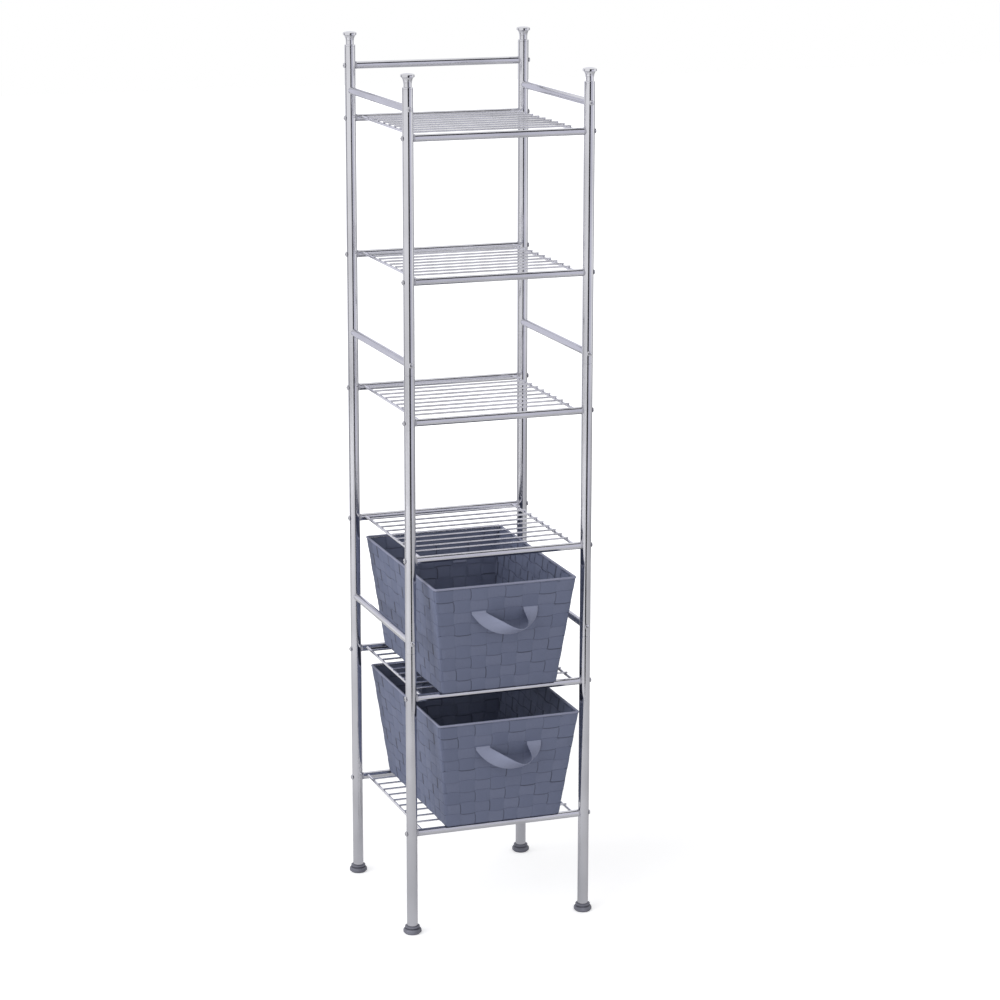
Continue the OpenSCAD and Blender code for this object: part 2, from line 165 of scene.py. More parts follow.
class Graph:
    """The nodes of one material or world.

    A Mix node's colour sockets are found by number, because its other sockets share their names.
    """

    first_colour = 6
    second_colour = 7
    mixed_colour = 2

    def __init__(self, tree: bpy.types.NodeTree) -> None:
        """Empties a node tree to build in.

        Args:
            tree: The tree of a material or of the world.
        """
        self.tree = tree
        tree.nodes.clear()

    def node(self, kind: str, settings: dict | None = None, inputs: dict | None = None) -> bpy.types.Node:
        """Adds a node.

        Args:
            kind: The node's type.
            settings: Its properties, which are set first.
            inputs: A value, socket or Value for each input's name or number.

        Returns:
            The node.
        """
        made = self.tree.nodes.new(kind)
        for name, setting in (settings or {}).items():
            setattr(made, name, setting)
        for key, value in (inputs or {}).items():
            socket = made.inputs[key]
            if isinstance(value, Value):
                self.tree.links.new(value.socket, socket)
            elif isinstance(value, bpy.types.NodeSocket):
                self.tree.links.new(value, socket)
            else:
                socket.default_value = value
        return made

    def object_place(self) -> bpy.types.NodeSocket:
        """Gives the place on the piece, in metres."""
        return self.node("ShaderNodeTexCoord").outputs["Object"]

    def stretched(self, place: bpy.types.NodeSocket, scale: Colour) -> bpy.types.NodeSocket:
        """Scales a place along each axis, for a pattern with a direction.

        Args:
            place: The place to scale.
            scale: The factor along each axis.

        Returns:
            The scaled place.
        """
        return self.node("ShaderNodeMapping", {}, {"Vector": place, "Scale": scale}).outputs[0]

    def noise(self, place: bpy.types.NodeSocket, scale: float, detail: float = 2.0) -> Value:
        """Adds noise from 0 to 1.

        Args:
            place: Where to read it.
            scale: Lumps per unit of place.
            detail: How many finer layers it has.

        Returns:
            The noise.
        """
        inputs = {"Vector": place, "Scale": scale, "Detail": detail}
        return Value(self, self.node("ShaderNodeTexNoise", {}, inputs).outputs[0])

    def reach(self, place: bpy.types.NodeSocket) -> Value:
        """Gives how far a place is from the middle."""
        made = self.node("ShaderNodeVectorMath", {"operation": "LENGTH"}, {0: place})
        return Value(self, made.outputs["Value"])

    def tile_tone(self, along: Value, across: Value) -> Value:
        """Gives each tile of a strap a number of its own, from 0 to 1.

        Args:
            along: The place along the strap, in tiles.
            across: The strap's number plus the share of its width.

        Returns:
            The tile's number.
        """
        tile = self.node("ShaderNodeCombineXYZ", {}, {"X": along.whole(), "Y": across.whole()})
        made = self.node("ShaderNodeTexWhiteNoise", {"noise_dimensions": "2D"}, {"Vector": tile.outputs[0]})
        return Value(self, made.outputs["Value"])

    def mix(self, factor: Value | float, first: Colour, second: Colour) -> bpy.types.NodeSocket:
        """Mixes two colours.

        Args:
            factor: 0 for the first colour, 1 for the second.
            first: A colour or a colour socket.
            second: A colour or a colour socket.

        Returns:
            The mixed colour.
        """
        made = self.node("ShaderNodeMix", {"data_type": "RGBA"}, {0: factor})
        for key, colour in ((self.first_colour, first), (self.second_colour, second)):
            if isinstance(colour, bpy.types.NodeSocket):
                self.tree.links.new(colour, made.inputs[key])
            else:
                made.inputs[key].default_value = (*colour, 1.0)
        return made.outputs[self.mixed_colour]

    def bump(self, height: Value, distance: float, strength: float = 1.0) -> bpy.types.NodeSocket:
        """Adds a Bump node.

        Args:
            height: The height, from 0 to 1.
            distance: What a height of 1 is, in metres.
            strength: How much of it is used.

        Returns:
            The bumped normal.
        """
        inputs = {"Height": height, "Distance": distance, "Strength": strength}
        return self.node("ShaderNodeBump", {}, inputs).outputs[0]

    def surface(self, shader: bpy.types.Node) -> None:
        """Sends a shader to the output.

        Args:
            shader: The shader's node.
        """
        in_material = isinstance(self.tree.id_data, bpy.types.Material)
        output = "ShaderNodeOutputMaterial" if in_material else "ShaderNodeOutputWorld"
        self.node(output, {}, {"Surface": shader.outputs[0]})


def new_material(name: str) -> tuple[bpy.types.Material, Graph]:
    """Makes an empty material.

    Args:
        name: The material's name.

    Returns:
        The material and its graph.
    """
    material = bpy.data.materials.new(name)
    material.use_nodes = True
    return material, Graph(material.node_tree)


def scaled(colour: Colour, share: float, lift: float = 0.0) -> Colour:
    """Makes a colour darker or paler.

    Args:
        colour: The colour.
        share: What each channel is multiplied by.
        lift: What is then added to each.

    Returns:
        The changed colour, at most white.
    """
    return tuple(min(1.0, channel * share + lift) for channel in colour)


# ---- finishes ----


@dataclass(frozen=True)
class ChromePlate:
    """Bright plate over steel: an even mirror, slightly hazed, with faint waves in the tube below."""

    name: str
    tint: Colour
    haze: float = 0.09
    uneven_haze: float = 0.03
    dull_share: float = 0.86
    cloud_scale: float = 9.0
    cloud_step: Span = (0.35, 0.75)
    dust_scale: float = 420.0
    dust_detail: float = 3.0
    dust_step: Span = (0.5, 0.8)
    wave_scale: Colour = (70.0, 70.0, 6.0)
    wave: float = 0.02 * MM

    def build(self) -> bpy.types.Material:
        """Makes the material.

        Returns:
            The material.
        """
        material, graph = new_material(self.name)
        place = graph.object_place()
        cloud = graph.noise(place, self.cloud_scale)
        dust = graph.noise(place, self.dust_scale, self.dust_detail)
        along = graph.noise(graph.stretched(place, self.wave_scale), 1.0)
        dull = scaled(self.tint, self.dull_share)
        haze = self.haze + self.uneven_haze * cloud + self.uneven_haze * dust.ramp(*self.dust_step)
        shader = graph.node("ShaderNodeBsdfPrincipled", {}, {
            "Base Color": graph.mix(cloud.ramp(*self.cloud_step), self.tint, dull),
            "Roughness": haze,
            "Metallic": 1.0,
            "Normal": graph.bump(along, self.wave),
        })
        graph.surface(shader)
        return material


@dataclass(frozen=True)
class MouldedPlastic:
    """Moulded plastic or rubber with a fine grain and rubbed patches."""

    name: str
    colour: Colour
    roughness: float
    uneven_roughness: float = 0.12
    worn_share: float = 1.5
    worn_lift: float = 0.01
    worn_depth: float = 0.6
    patch_scale: float = 60.0
    patch_step: Span = (0.5, 0.8)
    grain_scale: float = 2200.0
    grain: float = 0.05 * MM

    def build(self) -> bpy.types.Material:
        """Makes the material.

        Returns:
            The material.
        """
        material, graph = new_material(self.name)
        place = graph.object_place()
        patch = graph.noise(place, self.patch_scale)
        grain = graph.noise(place, self.grain_scale)
        worn = scaled(self.colour, self.worn_share, self.worn_lift)
        shader = graph.node("ShaderNodeBsdfPrincipled", {}, {
            "Base Color": graph.mix(patch.ramp(*self.patch_step) * self.worn_depth, self.colour, worn),
            "Roughness": self.roughness + self.uneven_roughness * (patch - 0.5),
            "Normal": graph.bump(grain, self.grain),
        })
        graph.surface(shader)
        return material


@dataclass(frozen=True)
class ZincSteel:
    """Dull zinc-plated steel with a faint spangle."""

    name: str
    tint: Colour
    roughness: float = 0.32
    uneven_roughness: float = 0.12
    pale_share: float = 1.2
    spangle_scale: float = 300.0
    spangle_detail: float = 3.0
    relief: float = 0.02 * MM

    def build(self) -> bpy.types.Material:
        """Makes the material.

        Returns:
            The material.
        """
        material, graph = new_material(self.name)
        spangle = graph.noise(graph.object_place(), self.spangle_scale, self.spangle_detail)
        shader = graph.node("ShaderNodeBsdfPrincipled", {}, {
            "Base Color": graph.mix(spangle, self.tint, scaled(self.tint, self.pale_share)),
            "Roughness": self.roughness + self.uneven_roughness * spangle,
            "Metallic": 1.0,
            "Normal": graph.bump(spangle, self.relief),
        })
        graph.surface(shader)
        return material


@dataclass(frozen=True)
class Strapping:
    """Flat woven strapping, ribbed along its length, in tiles of slightly different tone.

    Painted shade darkens its low edge, both its edges less, and the places where it dives under another
    strap. Tiles that lie loose, picked at random, get more painted shade on the edges and less at the
    dives.
    The lanes of a bin's long sides come first in each pair of sides. They are seen at a slant, so their low
    edge's painted shade can be wider and deeper.
    """

    name: str
    colour: Colour
    pale: Colour
    ribs: int = 14
    rib_height: float = 0.10 * MM
    rib_strength: float = 0.6
    rib_weight: float = 0.6
    roughness: float = 0.62
    uneven_roughness: float = 0.12
    gloss: float = 0.35
    cloud_scale: float = 26.0
    tile_share: float = 0.65
    fibre_scale: Colour = (7.0, 34.0, 1.0)
    fibre_detail: float = 4.0
    trough_shade_and_fibre_depth: float = 0.3
    groove_share: float = 0.80
    shade_share: float = 0.42
    edge_shade: float = 0.85
    low_edge_step: Span = (0.03, 0.11)
    both_edges_step: Span = (0.88, 1.0)
    both_edges_share: float = 0.3
    tight_edges: float = 0.12
    loose_edges: float = 1.1
    loose_offset: float = 31.0
    dive: float = 0.2
    dive_step: Span = (0.0, 0.22)
    tight_dive: float = 1.15
    loose_dive: float = 0.7
    lanes_per_pair: int = 0
    deep_lanes: int = 0
    deep_start: float = 0.05
    deep_reach: float = 0.28
    deep_shade: float = 1.8

    def low_edge(self, lane: Value, across: Value) -> Value:
        """Gives the painted shade of the low edge.

        Args:
            lane: The strap's number plus the share of its width.
            across: The share of its width.

        Returns:
            The shade, 0 where there is none.
        """
        narrow = 1.0 - across.ramp(*self.low_edge_step)
        if not self.deep_lanes:
            return narrow
        # On the lanes of a long side the low edge's painted shade is wider and deeper.
        lane_in_pair = lane.math("MODULO", lane.whole(), float(self.lanes_per_pair))
        on_long_side = lane.math("LESS_THAN", lane_in_pair, float(self.deep_lanes))
        wide = self.deep_shade * (1.0 - across.ramp(self.deep_start, self.deep_reach))
        return narrow + on_long_side * (wide - narrow)

    def shade(self, graph: Graph, along: Value, lane: Value, across: Value) -> Value:
        """Gives the painted shade of the strap's edges and of its dives.

        Args:
            graph: The material's graph.
            along: The place along the strap, in tiles.
            lane: The strap's number plus the share of its width.
            across: The share of its width.

        Returns:
            The shade, from 0 to 1.
        """
        both_edges = ((across - 0.5).size() * 2.0).ramp(*self.both_edges_step)
        # Painted shade where the strap dives under another strap.
        buried = 1.0 - (along * math.pi).sine().size().ramp(*self.dive_step)
        loose = graph.tile_tone(along + self.loose_offset, lane)
        # Painted shade along the low edge, and less along both edges, heavier on tiles that lie loose.
        edges = self.low_edge(lane, across) * self.edge_shade + both_edges * (self.edge_shade * self.both_edges_share)
        edges = edges * (self.tight_edges + self.loose_edges * loose * loose)
        total = edges + buried * (self.dive * (self.tight_dive - self.loose_dive * loose))
        return total.math("MINIMUM", total, 1.0)

    def build(self) -> bpy.types.Material:
        """Makes the material.

        Returns:
            The material.
        """
        material, graph = new_material(self.name)
        strap = graph.node("ShaderNodeUVMap", {"uv_map": UV_NAME}).outputs[0]
        parts = graph.node("ShaderNodeSeparateXYZ", {}, {0: strap}).outputs
        along, lane = Value(graph, parts["X"]), Value(graph, parts["Y"])
        across = lane - lane.whole()
        rib = (across * (2.0 * math.pi * self.ribs)).sine() * 0.5 + 0.5
        cloud = graph.noise(graph.object_place(), self.cloud_scale, 1.0)
        fibre = graph.noise(graph.stretched(strap, self.fibre_scale), 1.0, self.fibre_detail)
        tone = self.tile_share * graph.tile_tone(along, lane) + (1.0 - self.tile_share) * cloud
        body = graph.mix(tone, self.colour, self.pale)
        # The rib troughs are painted darker, a painted shade, and random fibre grain darkens the colour
        # too.
        trough_shade_and_fibre = (1.0 - rib) * self.trough_shade_and_fibre_depth + self.trough_shade_and_fibre_depth * fibre
        ribbed = graph.mix(trough_shade_and_fibre, body, scaled(self.colour, self.groove_share))
        # dark is the colour of the painted shade at the edges and dives.
        dark = scaled(self.colour, self.shade_share)
        relief = rib * self.rib_weight + fibre * (1.0 - self.rib_weight)
        shader = graph.node("ShaderNodeBsdfPrincipled", {}, {
            "Base Color": graph.mix(self.shade(graph, along, lane, across), ribbed, dark),
            "Roughness": self.roughness + self.uneven_roughness * (fibre - 0.5),
            "Normal": graph.bump(relief, self.rib_height, self.rib_strength),
            "Specular IOR Level": self.gloss,
        })
        graph.surface(shader)
        return material


class Finish(Enum):
    """The finishes of the tower, by their slot in the record."""

    POST = "post_tube"
    SHELF_TUBE = "shelf_tube"
    RAIL = "rail_tube"
    WIRE = "shelf_wire"
    FINIAL = "finial"
    BOLT = "bolt"
    INSERT = "tube_insert"
    COUPLER = "coupler"
    LEVELLER = "leveller_plastic"
    FOOT = "foot_pad"
    STUD = "stud"
    WEAVE = "bin_weave"
    UPRIGHT = "bin_weave_upright"
    RIM = "bin_rim"
    STRAP = "bin_strap"
    RIM_WIRE = "rim_wire"

    @property
    def slot(self) -> str:
        """The record's slot that the finish belongs to."""
        return self.value.removesuffix("_upright")


LONG_COLUMNS = 12
SHORT_COLUMNS = 8

CHROME = (0.665, 0.665, 0.705)
WIRE_CHROME = (0.82, 0.82, 0.86)
FINIAL_CHROME = (0.70, 0.70, 0.74)
BOLT_CHROME = (0.66, 0.66, 0.70)
INSERT_GREY = (0.40, 0.40, 0.45)
LEVELLER_BLACK = (0.03, 0.03, 0.033)
FOOT_GREY = (0.165, 0.167, 0.205)
COUPLER_ZINC = (0.52, 0.52, 0.54)
STUD_ZINC = (0.55, 0.55, 0.57)
RIM_WIRE_ZINC = (0.4, 0.4, 0.42)
SLATE = (0.135, 0.155, 0.241)
SLATE_PALE = (0.169, 0.191, 0.285)
UPRIGHT_SLATE = (0.141, 0.161, 0.247)
UPRIGHT_PALE = (0.180, 0.201, 0.296)
RIM_LAVENDER = (0.235, 0.250, 0.350)
RIM_PALE = (0.290, 0.305, 0.410)
HAND_LAVENDER = (0.242, 0.264, 0.376)
HAND_PALE = (0.282, 0.305, 0.422)

FINISHES = {
    Finish.POST: ChromePlate("post_chrome", CHROME),
    Finish.SHELF_TUBE: ChromePlate("shelf_tube_chrome", CHROME),
    Finish.RAIL: ChromePlate("rail_chrome", CHROME),
    Finish.WIRE: ChromePlate("wire_chrome", WIRE_CHROME, haze=0.15),
    Finish.FINIAL: ChromePlate("finial_chrome", FINIAL_CHROME, haze=0.08),
    Finish.BOLT: ChromePlate("bolt_chrome", BOLT_CHROME, haze=0.16),
    Finish.INSERT: MouldedPlastic("insert_grey", INSERT_GREY, roughness=0.35),
    Finish.COUPLER: ZincSteel("coupler_steel", COUPLER_ZINC),
    Finish.LEVELLER: MouldedPlastic("leveller_black", LEVELLER_BLACK, roughness=0.5),
    Finish.FOOT: MouldedPlastic("foot_rubber", FOOT_GREY, roughness=0.5),
    Finish.STUD: ZincSteel("stud_steel", STUD_ZINC),
    Finish.WEAVE: Strapping("bin_weave", SLATE, SLATE_PALE),
    # The uprights carry heavier painted shade on their low edge, wider and deeper on the long sides.
    Finish.UPRIGHT: Strapping(
        "bin_weave_upright", UPRIGHT_SLATE, UPRIGHT_PALE, edge_shade=1.1,
        lanes_per_pair=LONG_COLUMNS + SHORT_COLUMNS, deep_lanes=LONG_COLUMNS,
    ),
    Finish.RIM: Strapping("bin_rim", RIM_LAVENDER, RIM_PALE, ribs=3, edge_shade=0.0, dive=0.0),
    Finish.STRAP: Strapping("bin_strap", HAND_LAVENDER, HAND_PALE, edge_shade=0.1, dive=0.0),
    Finish.RIM_WIRE: ZincSteel("rim_wire_steel", RIM_WIRE_ZINC),
}
MATERIALS = {kind: finish.build() for kind, finish in FINISHES.items()}


# ---- meshes ----


def mapped_grid(work: bmesh.types.BMesh, cells: tuple[int, int], place: Place, tiles: float = 1.0,
                lane: int = 0) -> list[bmesh.types.BMVert]:
    """Adds a flat grid and moves each of its points by a rule.

    Its UV map holds tiles along it, and its lane across it.

    Args:
        work: The mesh being built.
        cells: Cells along the strap and across it.
        place: Where a point goes, from its share of the way along and across.
        tiles: How many tiles the strap has along its length.
        lane: The strap's number, which the UV map's second value starts from.

    Returns:
        The grid's points.
    """
    made = bmesh.ops.create_grid(work, x_segments=cells[0], y_segments=cells[1], size=1.0)["verts"]
    share = {point: ((point.co.x + 1.0) / 2.0, (point.co.y + 1.0) / 2.0) for point in made}
    layer = work.loops.layers.uv.get(UV_NAME) or work.loops.layers.uv.new(UV_NAME)
    lane_width = 1.0 - 2.0 * UV_LANE_MARGIN
    for face in {face for point in made for face in point.link_faces}:
        for loop in face.loops:
            along, across = share[loop.vert]
            loop[layer].uv = (along * tiles, lane + UV_LANE_MARGIN + lane_width * across)
    for point in made:
        point.co = place(*share[point])
    return made


def alternate(number: int) -> float:
    """Gives 1 for an even number and -1 for an odd one."""
    return -1.0 if number % 2 else 1.0


def gathered(place: float, pull: float = 0.8) -> float:
    """Draws evenly spaced places together near the whole numbers, where straps cross and corners turn.

    Args:
        place: The evenly spaced place.
        pull: 0 to leave it alone, 1 to gather it fully.

    Returns:
        The place that it is drawn to.
    """
    return place - pull * math.sin(2.0 * math.pi * place) / (2.0 * math.pi)


def thicken(work: bmesh.types.BMesh, points: Iterable[bmesh.types.BMVert], thickness: float) -> None:
    """Gives a sheet its thickness, half to each side.

    Args:
        work: The mesh being built.
        points: The sheet's points.
        thickness: The finished thickness.
    """
    sheet = list(points)
    faces = list({face for point in sheet for face in point.link_faces})
    for point in sheet:
        point.normal_update()
    shift = [(point, point.normal.copy()) for point in sheet]
    for point, normal in shift:
        point.co += normal * thickness / 2.0
    bmesh.ops.solidify(work, geom=faces, thickness=thickness)


def finish_piece(work: bmesh.types.BMesh, name: str, body: str, kind: Finish) -> bpy.types.Object:
    """Turns a built mesh into a piece that rides on a body.

    Args:
        work: The mesh being built, which is freed.
        name: The piece's name.
        body: The body that it rides on.
        kind: Its finish.

    Returns:
        The piece.
    """
    mesh = bpy.data.meshes.new(name)
    bmesh.ops.recalc_face_normals(work, faces=work.faces)
    work.to_mesh(mesh)
    work.free()
    for polygon in mesh.polygons:
        polygon.use_smooth = True
    mesh.set_sharp_from_angle(angle=math.radians(SHARP_DEG))
    mesh.materials.append(MATERIALS[kind])
    piece = bpy.data.objects.new(name, mesh)
    bpy.context.scene.collection.objects.link(piece)
    flatter = piece.modifiers.new("flatter_faces", "WEIGHTED_NORMAL")
    flatter.keep_sharp = True
    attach(piece, body)
    kind.slot
    LOG.info("piece %s: %d faces", name, len(mesh.polygons))
    return piece


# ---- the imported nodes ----


@dataclass(frozen=True)
class CarriedNodes:
    """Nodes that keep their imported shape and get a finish."""

    def dress(self) -> None:
        """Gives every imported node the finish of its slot."""
        for entry in frame["record"]["subparts"]:
            node = frame["nodes"][entry["node"]]
            kind = Finish(entry["material_slot"])
            node.data.materials.clear()
            node.data.materials.append(MATERIALS[kind])
            LOG.info("node %s: %s", entry["node"], kind.name)


# ---- bins ----


@dataclass(frozen=True)
class HandStrap:
    """A strap through two slots in a wall, with a tab inside at each end and a twisted loop outside.

    Its sections are centres and widths, measured from the middle between the slots on the wall's outer
    face: X along the wall, Y into it and Z up. The loop starts two thicknesses below the slots and follows
    a curve with two guide points, each given in half spans along and in droops up.
    """

    wall: float
    wall_slope: float
    width: float = 26.0 * MM
    thickness: float = 1.6 * MM
    span: float = 94.0 * MM
    droop: float = 35.0 * MM
    bow: float = 18.0 * MM
    turn_deg: float = -66.0
    turn_lag: float = 1.6
    tab_length: float = 14.0 * MM
    tab_gap: float = 0.5 * MM
    first_guide: tuple[float, float] = (-0.42, -1.03)
    second_guide: tuple[float, float] = (1.1, -1.6)
    bend_steps: int = 5
    loop_steps: int = 60

    def end_sections(self, side: float) -> list[Section]:
        """Lists the sections from the tab, through the slot, to the loop.

        Args:
            side: -1 for the left end and 1 for the right one, seen from outside.

        Returns:
            The sections.
        """
        bend = self.thickness
        inside = -(self.wall + self.tab_gap + self.thickness / 2.0)
        outside = self.thickness / 2.0 + self.tab_gap
        route = [(inside - self.wall_slope * self.tab_length, -self.tab_length), (inside, -bend)]
        for step in range(1, self.bend_steps + 1):
            angle = math.pi - math.pi / 2.0 * step / self.bend_steps
            route.append((inside + bend + bend * math.cos(angle), -bend + bend * math.sin(angle)))
        for step in range(self.bend_steps):
            angle = math.pi / 2.0 * (1.0 - step / self.bend_steps)
            route.append((outside - bend + bend * math.cos(angle), -bend + bend * math.sin(angle)))
        x, width = side * self.span / 2.0, Vector((-side, 0.0, 0.0))
        return [(Vector((x, -out, up)), width) for out, up in route]

    def loop_sections(self) -> list[Section]:
        """Lists the sections of the hanging loop, which turns nearly edge on and climbs steeply.

        Returns:
            The sections.
        """
        half, start = self.span / 2.0, -2.0 * self.thickness
        guides = (
            Vector((-half, 0.0, start)),
            Vector((self.first_guide[0] * half, 0.0, self.first_guide[1] * self.droop)),
            Vector((self.second_guide[0] * half, 0.0, self.second_guide[1] * self.droop)),
            Vector((half, 0.0, start)),
        )
        outside = self.thickness / 2.0 + self.tab_gap
        sections = []
        for step in range(self.loop_steps + 1):
            share = step / self.loop_steps
            angle, rest = math.pi * share, 1.0 - share
            weights = (rest**3, 3.0 * rest**2 * share, 3.0 * rest * share**2, share**3)
            centre = sum((guide * weight for guide, weight in zip(guides, weights)), Vector())
            centre.y = -(outside + self.bow * math.sin(angle))
            turn = math.radians(self.turn_deg) * math.sin(math.pi * share**self.turn_lag)
            flat = Vector((math.cos(angle), 0.0, math.sin(angle)))
            sections.append((centre, flat * math.cos(turn) + Vector((0.0, math.sin(turn), 0.0))))
        return sections

    def sections(self) -> list[Section]:
        """Lists all the sections, from the left tab to the right one."""
        return self.end_sections(-1.0) + self.loop_sections() + self.end_sections(1.0)[::-1]

    def point(self, sections: list[Section], along: float, across: float) -> Vector:
        """Finds a point of the strap.

        Args:
            sections: All the strap's sections.
            along: The point's share of the way from the left tab to the right one.
            across: Its share of the width.

        Returns:
            The point.
        """
        centre, width = sections[round(along * (len(sections) - 1))]
        return centre + width * (self.width * (across - 0.5))


@dataclass
class WovenBin:
    """A tapered bin of flat strapping: bands, uprights, a woven floor, a folded rim and two hand straps."""

    body: str
    floor_half_x: float = 106.0 * MM
    floor_half_y: float = 163.0 * MM
    floor_corner: float = 3.2 * MM
    rim_corner: float = 3.8 * MM
    height: float = 196.0 * MM
    roll: float = 2.2 * MM
    wall: float = 2.0 * MM
    wall_top_gap: float = 0.4 * MM
    rows: int = 9
    long_columns: int = LONG_COLUMNS
    short_columns: int = SHORT_COLUMNS
    steps: int = 8
    strap_cells: int = 4
    strap_weld: float = 0.01 * MM
    floor_strap_cells: int = 2
    fold_cells: int = 20
    hand_cells: int = 6
    strap_thickness: float = 0.7 * MM
    strap_lift: float = 0.62 * MM
    strap_spread: float = 0.16
    strap_crown: float = 0.25
    strap_steepness: float = 2.4
    upright_fill: float = 0.97
    floor_fill: float = 0.99
    floor_rise: float = 0.1 * MM
    fold_fill: float = 0.97
    fold_waist: float = 0.05
    fold_weld: float = 0.005 * MM
    hand_drop: float = 48.0 * MM
    hand_sheet: float = 0.8
    hand_tiles: float = 4.0

    def __post_init__(self) -> None:
        """Reads the bin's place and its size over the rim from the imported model."""
        low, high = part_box(f"{self.body}_rim")
        self.middle = Vector(((low.x + high.x) / 2.0, (low.y + high.y) / 2.0, 0.0))
        self.rim_half_x = (high.x - low.x) / 2.0 - self.roll
        self.rim_half_y = (high.y - low.y) / 2.0 - self.roll
        self.floor_z = high.z - self.height
        self.wall_height = self.height - 2.0 * self.roll - self.wall_top_gap
        self.sides = (self.long_columns, self.short_columns, self.long_columns, self.short_columns)
        self.columns = sum(self.sides)

    def half_sizes(self, level: float) -> tuple[float, float, float]:
        """Gives the wall's middle surface at a level.

        Args:
            level: 0 at the floor and 1 at the top of the wall.

        Returns:
            The half width, the half length and the corner's radius.
        """
        floor_x = self.floor_half_x - self.wall / 2.0
        floor_y = self.floor_half_y - self.wall / 2.0
        return (
            floor_x + (self.rim_half_x - floor_x) * level,
            floor_y + (self.rim_half_y - floor_y) * level,
            self.floor_corner + (self.rim_corner - self.floor_corner) * level,
        )

    def outline(self, column: float, level: float) -> tuple[Vector, Vector]:
        """Follows the wall round, from the right side to the back, left and front.

        Args:
            column: How many uprights along.
            level: 0 at the floor and 1 at the top of the wall.

        Returns:
            The point on the wall's middle surface, and the way out of it.
        """
        half_x, half_y, radius = self.half_sizes(level)
        side, rest = 0, column % self.columns
        while rest >= self.sides[side]:
            rest -= self.sides[side]
            side += 1
        out, half = (half_x, half_y) if side % 2 == 0 else (half_y, half_x)
        straight = 2.0 * (half - radius)
        eighth = math.pi * radius / 4.0
        along = rest / self.sides[side] * (straight + 2.0 * eighth) - eighth
        if 0.0 <= along <= straight:
            point, way = Vector((out, along - straight / 2.0, 0.0)), Vector((1.0, 0.0, 0.0))
        else:
            end = math.copysign(straight / 2.0, along)
            angle = (along - straight if along > 0.0 else along) / radius
            way = Vector((math.cos(angle), math.sin(angle), 0.0))
            point = Vector((out - radius, end, 0.0)) + way * radius
        turn = Matrix.Rotation(side * math.pi / 2.0, 3, "Z")
        point, way = turn @ point + self.middle, turn @ way
        point.z = self.floor_z + level * self.wall_height
        return point, way

    def crossing(self, phase: float) -> float:
        """Gives how far over or under a strap runs: 1 over, -1 under, with flat tops."""
        steep = self.strap_steepness
        return math.tanh(steep * math.sin(math.pi * phase)) / math.tanh(steep)

    def crown(self, across: float) -> float:
        """Gives the slight crown of a strap, from 0 at its edges."""
        return self.strap_thickness * self.strap_crown * (1.0 - (2.0 * across - 1.0) ** 2)

    def band_point(self, row: int, along: float, across: float) -> Vector:
        """Finds a point of a band.

        Args:
            row: The band's number, from the floor up.
            along: The point's share of the way round the bin.
            across: Its share of the width, from the low edge.

        Returns:
            The point.
        """
        column = gathered(along * self.columns)
        wave = alternate(row) * self.crossing(column)
        level = (row + 0.5 + (across - 0.5) * (1.0 + self.strap_spread * wave)) / self.rows
        point, way = self.outline(column, min(max(level, 0.0), 1.0))
        return point + way * (self.strap_lift * wave + self.crown(across))

    def upright_point(self, column: int, along: float, across: float) -> Vector:
        """Finds a point of an upright.

        Args:
            column: The upright's number, from the right side's front end round the bin.
            along: The point's share of the way up.
            across: Its share of the width, from the shaded edge, which lies right seen from outside.

        Returns:
            The point.
        """
        row = gathered(along * self.rows)
        wave = -alternate(column) * self.crossing(row)
        shift = (0.5 - across) * self.upright_fill * (1.0 + self.strap_spread * wave)
        point, way = self.outline(column + 0.5 + shift, row / self.rows)
        return point + way * (self.strap_lift * wave + self.crown(across))

    def floor_counts(self, lengthwise: bool) -> tuple[int, int]:
        """Gives how many floor straps run from front to back, or else across, and how many cross them."""
        counts = (self.short_columns, self.long_columns)
        return counts if lengthwise else counts[::-1]

    def floor_point(self, number: int, lengthwise: bool, along: float, across: float) -> Vector:
        """Finds a point of a floor strap.

        Args:
            number: The strap's number.
            lengthwise: Whether it runs from front to back.
            along: The point's share of the way along.
            across: Its share of the width.

        Returns:
            The point.
        """
        half_x, half_y, _ = self.half_sizes(0.0)
        half, reach = (half_x, half_y) if lengthwise else (half_y, half_x)
        count, others = self.floor_counts(lengthwise)
        cell = gathered(along * others)
        side = half * (2.0 * (number + 0.5 + (across - 0.5) * self.floor_fill) / count - 1.0)
        run = reach * (2.0 * cell / others - 1.0)
        sign = alternate(number) * (-1.0 if lengthwise else 1.0)
        level = self.floor_z + self.wall / 2.0 + self.floor_rise
        z = level + sign * self.strap_lift * self.crossing(cell)
        return self.middle + Vector((side, run, z) if lengthwise else (run, side, z))

    def fold_point(self, along: float, round_it: float) -> Vector:
        """Finds a point of the folded rim, which is slightly waisted between the uprights.

        Args:
            along: The point's share of the way round the bin.
            round_it: Its share of the way round the rim's wire.

        Returns:
            The point.
        """
        column = gathered(along * self.columns)
        point, way = self.outline(column, 1.0)
        angle = 2.0 * math.pi * round_it
        reach = self.roll * (self.fold_fill - self.fold_waist * math.sin(math.pi * column) ** 2)
        point.z = self.floor_z + self.height - self.roll
        return point + way * (reach * math.cos(angle)) + Vector((0.0, 0.0, reach * math.sin(angle)))

    def bands(self) -> bpy.types.Object:
        """Builds the bands that run round the bin.

        Returns:
            The piece.
        """
        work = bmesh.new()
        cells = (self.columns * self.steps, self.strap_cells)
        for row in range(self.rows):
            made = mapped_grid(work, cells, partial(self.band_point, row), self.columns, row)
            bmesh.ops.remove_doubles(work, verts=made, dist=self.strap_weld)
            thicken(work, [point for point in made if point.is_valid], self.strap_thickness)
        return finish_piece(work, f"{self.body}_bands", self.body, Finish.WEAVE)

